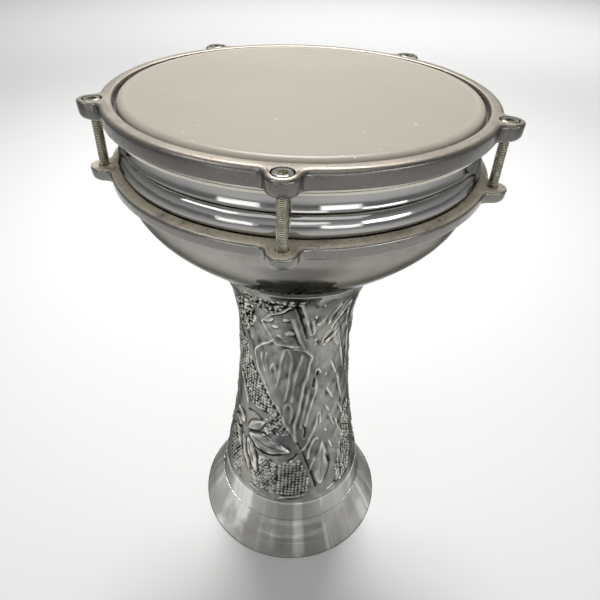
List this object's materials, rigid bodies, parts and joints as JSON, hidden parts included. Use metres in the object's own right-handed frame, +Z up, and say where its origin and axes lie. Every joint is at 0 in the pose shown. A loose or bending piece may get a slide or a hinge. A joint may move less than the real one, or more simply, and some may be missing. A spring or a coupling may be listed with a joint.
{
  "type": "darbuka",
  "caption": "Goblet drum with a lapped aluminium shell, chased stem and flared foot, and a film head that a cast hoop and socket-head screws tension against a lug ring.",
  "frame": {"origin": "on the drum's axis, at the level of the surface that the foot's rim stands on", "axes": "+Z up along the drum's axis from foot to head, -Y towards the lug that faces forward"},
  "size_m": [0.2609, 0.2618, 0.4215],
  "materials": {
    "spun_aluminium": "spun and polished",
    "chased_aluminium": "chased relief, polished high spots and dull recesses",
    "polished_aluminium": "mirror polished",
    "cast_aluminium": "cast, satin",
    "drawn_aluminium": "drawn, semi-bright",
    "frosted_film": "frosted polyester film",
    "zinc_plated_steel": "zinc plated"
  },
  "bodies": {
    "shell": {"foot_flare": "spun_aluminium", "stem_shell": "chased_aluminium", "bowl_shell": "polished_aluminium", "lower_lug_ring": "cast_aluminium"},
    "head": {"tension_hoop": "cast_aluminium", "flesh_hoop": "drawn_aluminium", "drum_head": "frosted_film"},
    "screw_1": {"tension_screw_1": "zinc_plated_steel"},
    "screw_2": {"tension_screw_2": "zinc_plated_steel"},
    "screw_3": {"tension_screw_3": "zinc_plated_steel"},
    "screw_4": {"tension_screw_4": "zinc_plated_steel"},
    "screw_5": {"tension_screw_5": "zinc_plated_steel"}
  },
  "joints": [
    {"name": "hoop_slide", "type": "slide", "parent": "shell", "child": "head", "axis": [0, 0, 1], "range_m": [0, 0.006]},
    {"name": "screw_1_turn", "type": "hinge", "parent": "head", "child": "screw_1", "pos_m": [-0.00766, -0.12777, 0.4215], "axis": [0, 0, 1], "range_deg": [0, 2160]},
    {"name": "screw_2_turn", "type": "hinge", "parent": "head", "child": "screw_2", "pos_m": [0.11915, -0.04677, 0.4215], "axis": [0, 0, 1], "range_deg": [0, 2160]},
    {"name": "screw_3_turn", "type": "hinge", "parent": "head", "child": "screw_3", "pos_m": [0.0813, 0.09887, 0.4215], "axis": [0, 0, 1], "range_deg": [0, 2160]},
    {"name": "screw_4_turn", "type": "hinge", "parent": "head", "child": "screw_4", "pos_m": [-0.06891, 0.10787, 0.4215], "axis": [0, 0, 1], "range_deg": [0, 2160]},
    {"name": "screw_5_turn", "type": "hinge", "parent": "head", "child": "screw_5", "pos_m": [-0.12388, -0.0322, 0.4215], "axis": [0, 0, 1], "range_deg": [0, 2160]}
  ],
  "couplings": [
    {"joint": "screw_1_turn", "follows": "hoop_slide", "rad_per_m": 6283.2},
    {"joint": "screw_2_turn", "follows": "hoop_slide", "rad_per_m": 6283.2},
    {"joint": "screw_3_turn", "follows": "hoop_slide", "rad_per_m": 6283.2},
    {"joint": "screw_4_turn", "follows": "hoop_slide", "rad_per_m": 6283.2},
    {"joint": "screw_5_turn", "follows": "hoop_slide", "rad_per_m": 6283.2}
  ]
}
